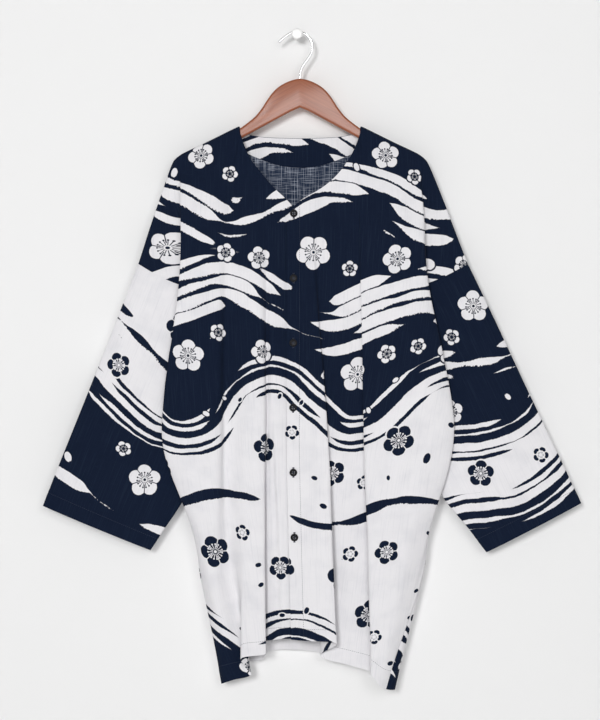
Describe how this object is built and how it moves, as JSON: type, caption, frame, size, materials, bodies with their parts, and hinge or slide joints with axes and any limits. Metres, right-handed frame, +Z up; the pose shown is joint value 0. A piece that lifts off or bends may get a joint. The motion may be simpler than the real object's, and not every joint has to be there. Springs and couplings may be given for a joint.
{
  "type": "dabo shirt on a wooden hanger and wall peg",
  "caption": "Loose collarless dabo shirt with wide drop-shoulder sleeves and a buttoned front, hung flat on a wooden hanger whose wire hook rests on a wall peg.",
  "frame": {"origin": "middle of the wall peg's back face, on the wall", "axes": "+Z up, +Y into the wall, so the front of the shirt faces -Y; +X towards the wearer's left"},
  "size_m": [0.81, 0.0694, 0.9928],
  "materials": {
    "printed_cotton": "matte slubbed plain weave, printed",
    "button": "satin",
    "hanger_lacquer": "clear lacquer",
    "hook_wire": "polished",
    "peg_paint": "satin"
  },
  "bodies": {
    "root": {"front_right": "printed_cotton", "front_left": "printed_cotton", "back": "printed_cotton", "back_neck_facing": "printed_cotton", "sleeve_right": "printed_cotton", "sleeve_left": "printed_cotton", "button_1": "button", "button_2": "button", "button_3": "button", "button_4": "button", "button_5": "button", "button_6": "button", "hanger_wood": "hanger_lacquer", "hanger_hook": "hook_wire", "wall_peg": "peg_paint"}
  },
  "joints": []
}
